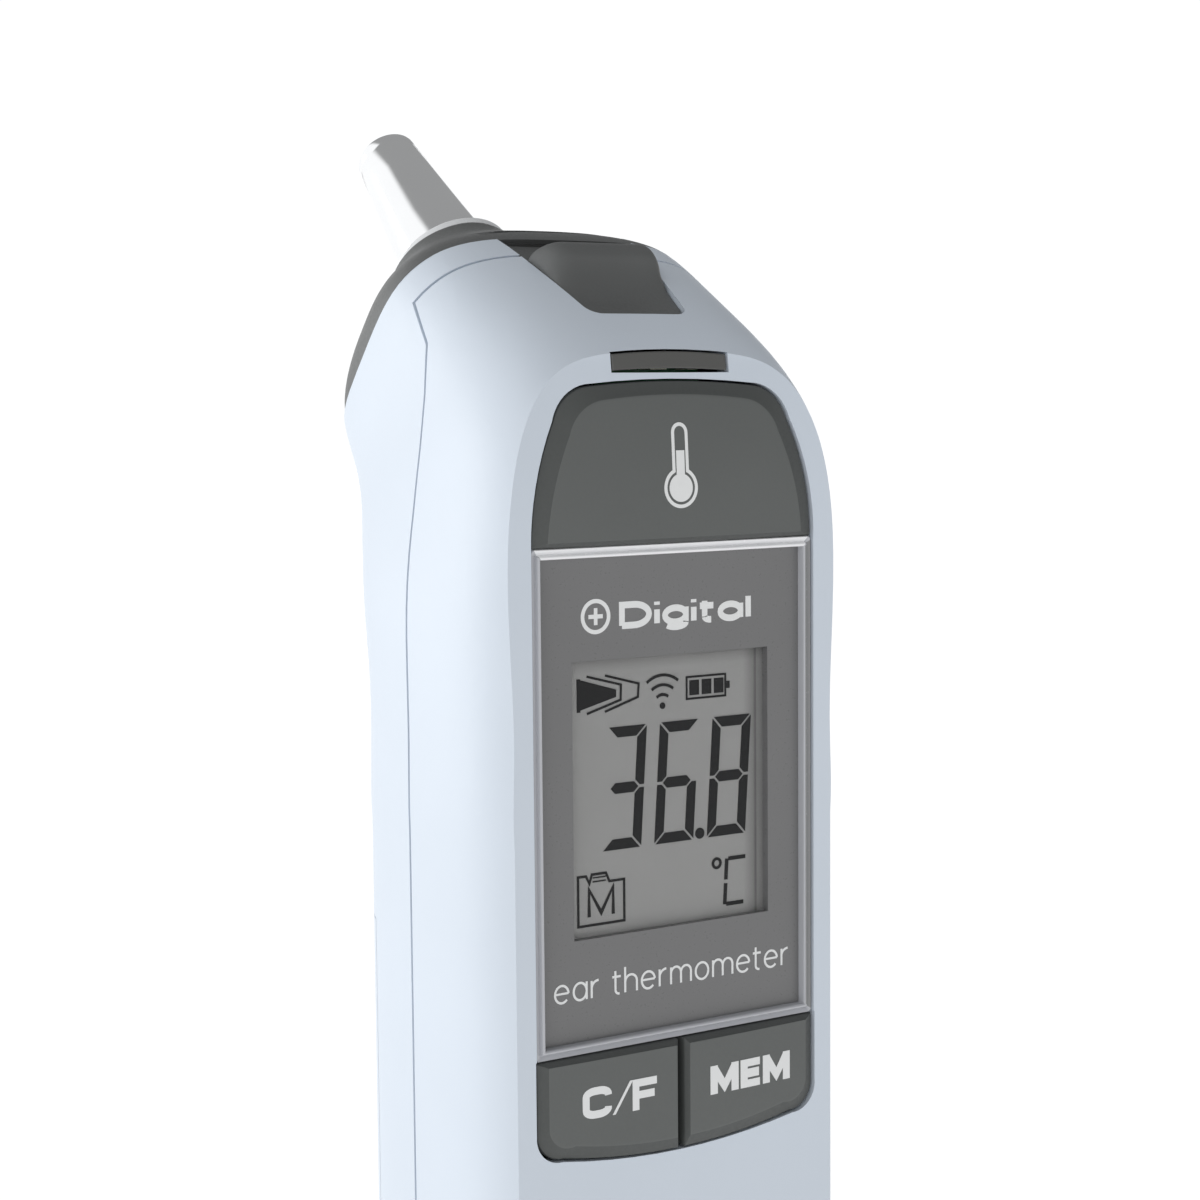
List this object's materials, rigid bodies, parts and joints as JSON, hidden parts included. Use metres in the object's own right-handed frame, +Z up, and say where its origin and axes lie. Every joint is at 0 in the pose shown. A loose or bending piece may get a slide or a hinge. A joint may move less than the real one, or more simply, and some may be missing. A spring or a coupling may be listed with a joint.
{
  "type": "digital ear thermometer",
  "caption": "Handheld infrared ear thermometer with a rounded handle, inclined head, polished probe cone, grey display panel, measuring key, lower keys and probe cover ejector.",
  "frame": {"origin": "middle of the flat face under the handle", "axes": "+Z up the handle, -Y out of the display, +Y the way the probe leans, X across the handle"},
  "size_m": [0.045, 0.0631, 0.1623],
  "materials": {
    "housing": "satin light blue-grey",
    "bezel": "glossy grey",
    "lens_dark": "smoked lens",
    "key": "soft matte",
    "head": "fine matte",
    "sleeve": "white gloss",
    "steel": "plain",
    "chrome": "polished",
    "inner_plastic": "moulded",
    "flex": "amber film",
    "panel": "printed grey",
    "clear": "clear",
    "lcd": "grey-green display",
    "guide": "diffusing",
    "rubber": "soft",
    "board": "solder mask",
    "chip": "moulded",
    "can": "plain",
    "silicone": "translucent",
    "led": "clear epoxy",
    "cell": "printed sleeve",
    "contact": "plated",
    "window": "infrared window",
    "brass": "gold plated"
  },
  "bodies": {
    "housing": {"battery_left": "cell", "battery_plates": "contact", "battery_right": "cell", "battery_springs": "contact", "buzzer": "chip", "chassis_screws": "steel", "circuit_board": "board", "display_bezel": "bezel", "display_panel": "panel", "display_window": "clear", "ejector_spring": "steel", "front_cover": "housing", "head_cap": "head", "housing_screws": "steel", "indicator_bar": "lens_dark", "lcd_frame": "inner_plastic", "lcd_glass": "lcd", "light_board": "board", "light_guide": "guide", "lower_contact_strip": "rubber", "measure_dome": "silicone", "measure_switch": "can", "memory_dome": "silicone", "memory_switch": "can", "microcontroller": "chip", "probe_chassis": "inner_plastic", "probe_cone": "chrome", "probe_window": "window", "rear_cover": "housing", "sensor_can": "can", "sensor_flex": "flex", "sensor_holder": "inner_plastic", "status_lights": "led", "tip_ring": "rubber", "unit_dome": "silicone", "unit_switch": "can", "upper_contact_strip": "rubber", "waveguide_tube": "brass", "wireless_module": "can"},
    "measure_key": {"measure_button": "key"},
    "unit_key": {"unit_button": "key"},
    "memory_key": {"memory_button": "key"},
    "ejector": {"ejector_button": "head"},
    "sleeve": {"ejector_sleeve": "sleeve"},
    "battery_door": {"battery_cover": "housing"}
  },
  "joints": [
    {"name": "measure_press", "type": "slide", "parent": "housing", "child": "measure_key", "axis": [0, 1, 0], "range_m": [0, 0.0008], "stiffness_N_per_m": 1500, "springref_m": -0.0002, "deforming": ["measure_dome"]},
    {"name": "unit_press", "type": "slide", "parent": "housing", "child": "unit_key", "axis": [0, 1, 0], "range_m": [0, 0.0006], "stiffness_N_per_m": 1500, "springref_m": -0.0002, "deforming": ["unit_dome"]},
    {"name": "memory_press", "type": "slide", "parent": "housing", "child": "memory_key", "axis": [0, 1, 0], "range_m": [0, 0.0006], "stiffness_N_per_m": 1500, "springref_m": -0.0002, "deforming": ["memory_dome"]},
    {"name": "eject_slide", "type": "slide", "parent": "housing", "child": "ejector", "axis": [0, 0.8572, 0.515], "range_m": [0, 0.004], "stiffness_N_per_m": 400, "springref_m": -0.0005, "deforming": ["ejector_spring"]},
    {"name": "sleeve_slide", "type": "slide", "parent": "housing", "child": "sleeve", "axis": [0, 0.7431, 0.6691], "range_m": [0, 0.004]},
    {"name": "door_slide", "type": "slide", "parent": "housing", "child": "battery_door", "axis": [0, 0, -1], "range_m": [0, 0.08]}
  ],
  "couplings": [
    {"joint": "sleeve_slide", "follows": "eject_slide", "ratio": 0.98163}
  ]
}
